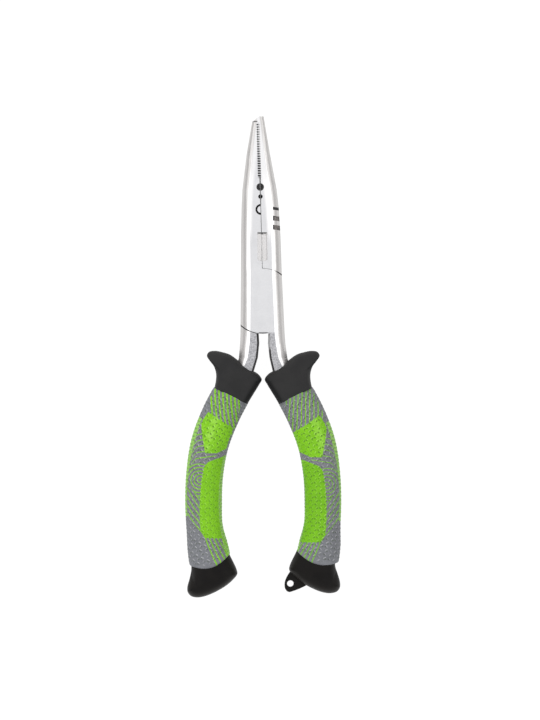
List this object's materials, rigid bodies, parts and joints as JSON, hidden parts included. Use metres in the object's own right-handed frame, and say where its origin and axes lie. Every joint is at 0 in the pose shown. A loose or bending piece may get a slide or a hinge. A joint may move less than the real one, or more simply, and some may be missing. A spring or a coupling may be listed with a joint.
{
  "type": "fishing pliers",
  "caption": "Long-nose fishing pliers with a riveted lap joint, side cutter, crimping notches, textured curved grips, finger guards and a lanyard ear.",
  "frame": {"origin": "where the pivot axis meets the back face of the head", "axes": "+Y towards the jaw tips along the closed pliers, +Z out of the front face along the pivot axis, +X to the right seen from the front"},
  "size_m": [0.0708, 0.2169, 0.0155],
  "materials": {
    "forged_steel": "satin ground faces, polished rounded shoulders",
    "rivet_steel": "ground flush",
    "core_plastic": "as moulded",
    "guard_plastic": "soft matte black",
    "grip_rubber": "embossed soft grip, printed grey and leaf green",
    "cap_plastic": "smooth black"
  },
  "bodies": {
    "front": {"front_half": "forged_steel", "pivot_rivet": "rivet_steel", "right_handle_core": "core_plastic", "right_finger_guard": "guard_plastic", "right_grip_sleeve": "grip_rubber", "right_end_cap": "cap_plastic"},
    "back": {"back_half": "forged_steel", "left_handle_core": "core_plastic", "left_finger_guard": "guard_plastic", "left_grip_sleeve": "grip_rubber", "left_end_cap": "cap_plastic"}
  },
  "joints": [
    {"name": "jaw_pivot", "type": "hinge", "parent": "front", "child": "back", "pos_m": [0, 0, 0], "axis": [0, 0, -1], "range_deg": [0, 32]}
  ]
}
